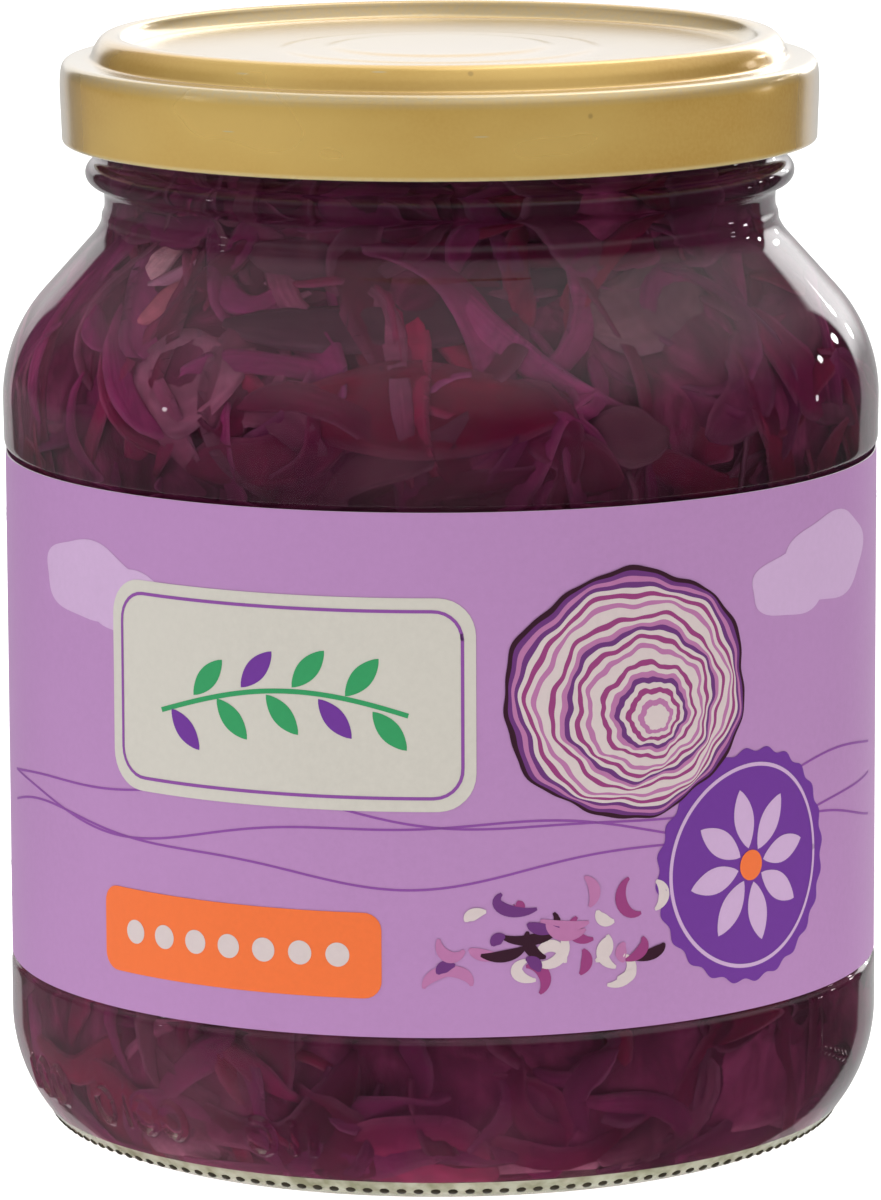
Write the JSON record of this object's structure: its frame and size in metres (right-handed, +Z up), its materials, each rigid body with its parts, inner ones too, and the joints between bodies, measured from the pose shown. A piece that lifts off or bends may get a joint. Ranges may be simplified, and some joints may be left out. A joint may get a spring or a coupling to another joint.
{
  "type": "jar of shredded red cabbage",
  "caption": "Squat glass jar with rounded shoulders and a pressed metal twist-off lid, filled with shredded red cabbage and wrapped in a paper label.",
  "frame": {"origin": "centre of the base, on the plane it stands on", "axes": "+Z up along the jar's axis, -Y towards the label's front"},
  "size_m": [0.0814, 0.0816, 0.1019],
  "materials": {
    "clear_glass": "clear, smooth",
    "gold_lacquer": "gold lacquer, semi-gloss",
    "label_paper": "printed paper, satin",
    "red_cabbage": "wet cooked vegetable"
  },
  "bodies": {
    "root": {"glass_jar": "clear_glass", "lid": "gold_lacquer", "label": "label_paper", "cabbage": "red_cabbage"}
  },
  "joints": []
}
